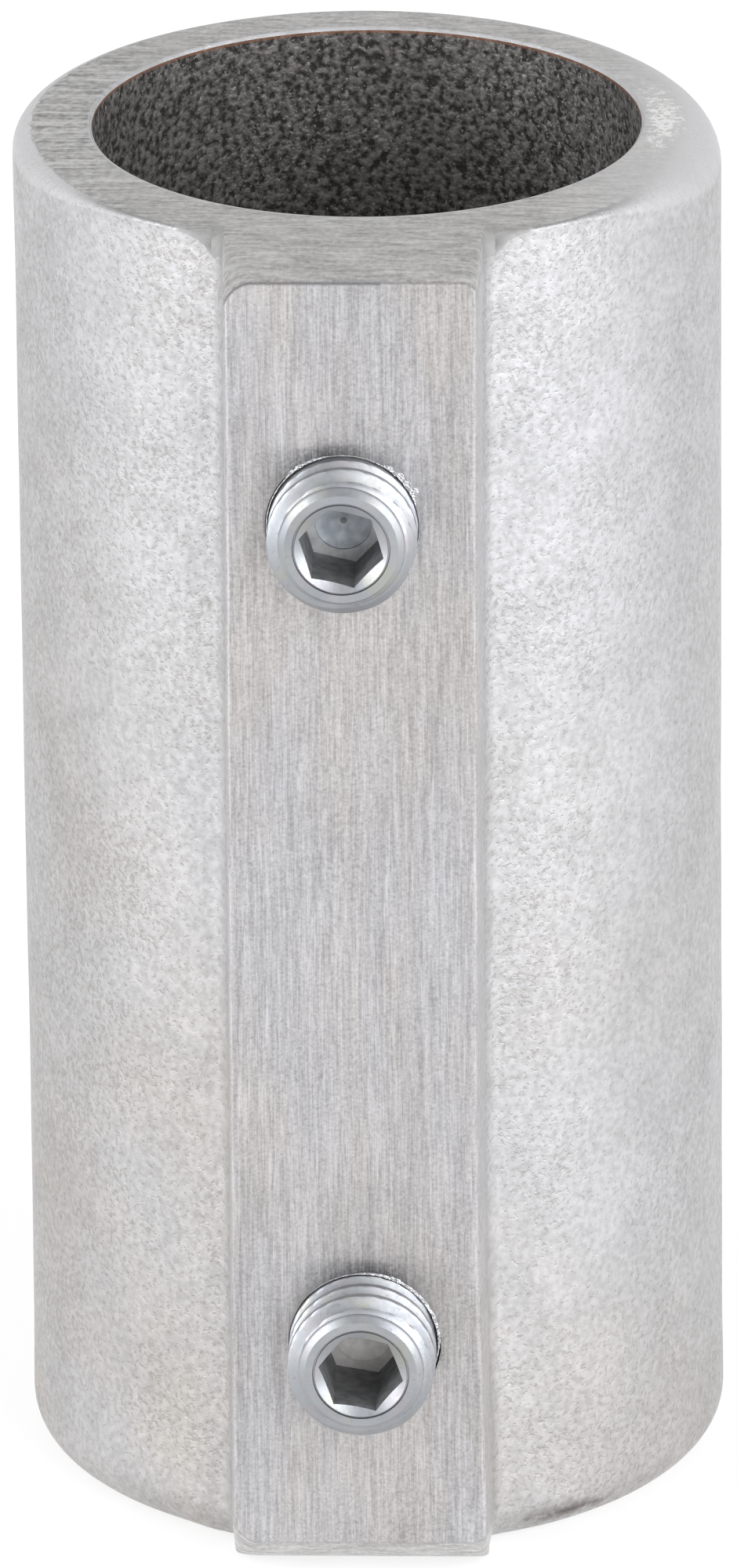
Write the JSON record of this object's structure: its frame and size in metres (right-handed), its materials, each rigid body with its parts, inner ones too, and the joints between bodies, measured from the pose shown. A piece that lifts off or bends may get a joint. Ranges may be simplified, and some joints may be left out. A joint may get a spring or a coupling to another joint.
{
  "type": "straight pipe coupling",
  "caption": "Cast aluminium straight pipe coupling sleeve with a raised front rib carrying hex socket set screws that grip each pipe end.",
  "frame": {"origin": "centre of the outer box at the lower end face; the bore axis is parallel to Z at X 0, Y +4.775 mm, because the rib and screws stand forward", "axes": "+Z along the bore towards the upper end, -Y out of the rib's flat face, where the set screws enter, +X to the right seen from the front"},
  "size_m": [0.0454, 0.055, 0.091],
  "materials": {
    "cast_aluminium": "sand cast, matt and finely mottled, with linished flats on the ends and the rib",
    "zinc_plated_steel": "bright zinc plate"
  },
  "bodies": {
    "sleeve": {"coupling_sleeve": "cast_aluminium"},
    "upper_screw": {"upper_set_screw": "zinc_plated_steel"},
    "lower_screw": {"lower_set_screw": "zinc_plated_steel"}
  },
  "joints": [
    {"name": "upper_screw_travel", "type": "slide", "parent": "sleeve", "child": "upper_screw", "axis": [0, 1, 0], "range_m": [-0.0056, 0.00315]},
    {"name": "lower_screw_travel", "type": "slide", "parent": "sleeve", "child": "lower_screw", "axis": [0, 1, 0], "range_m": [-0.0045, 0.00425]}
  ]
}
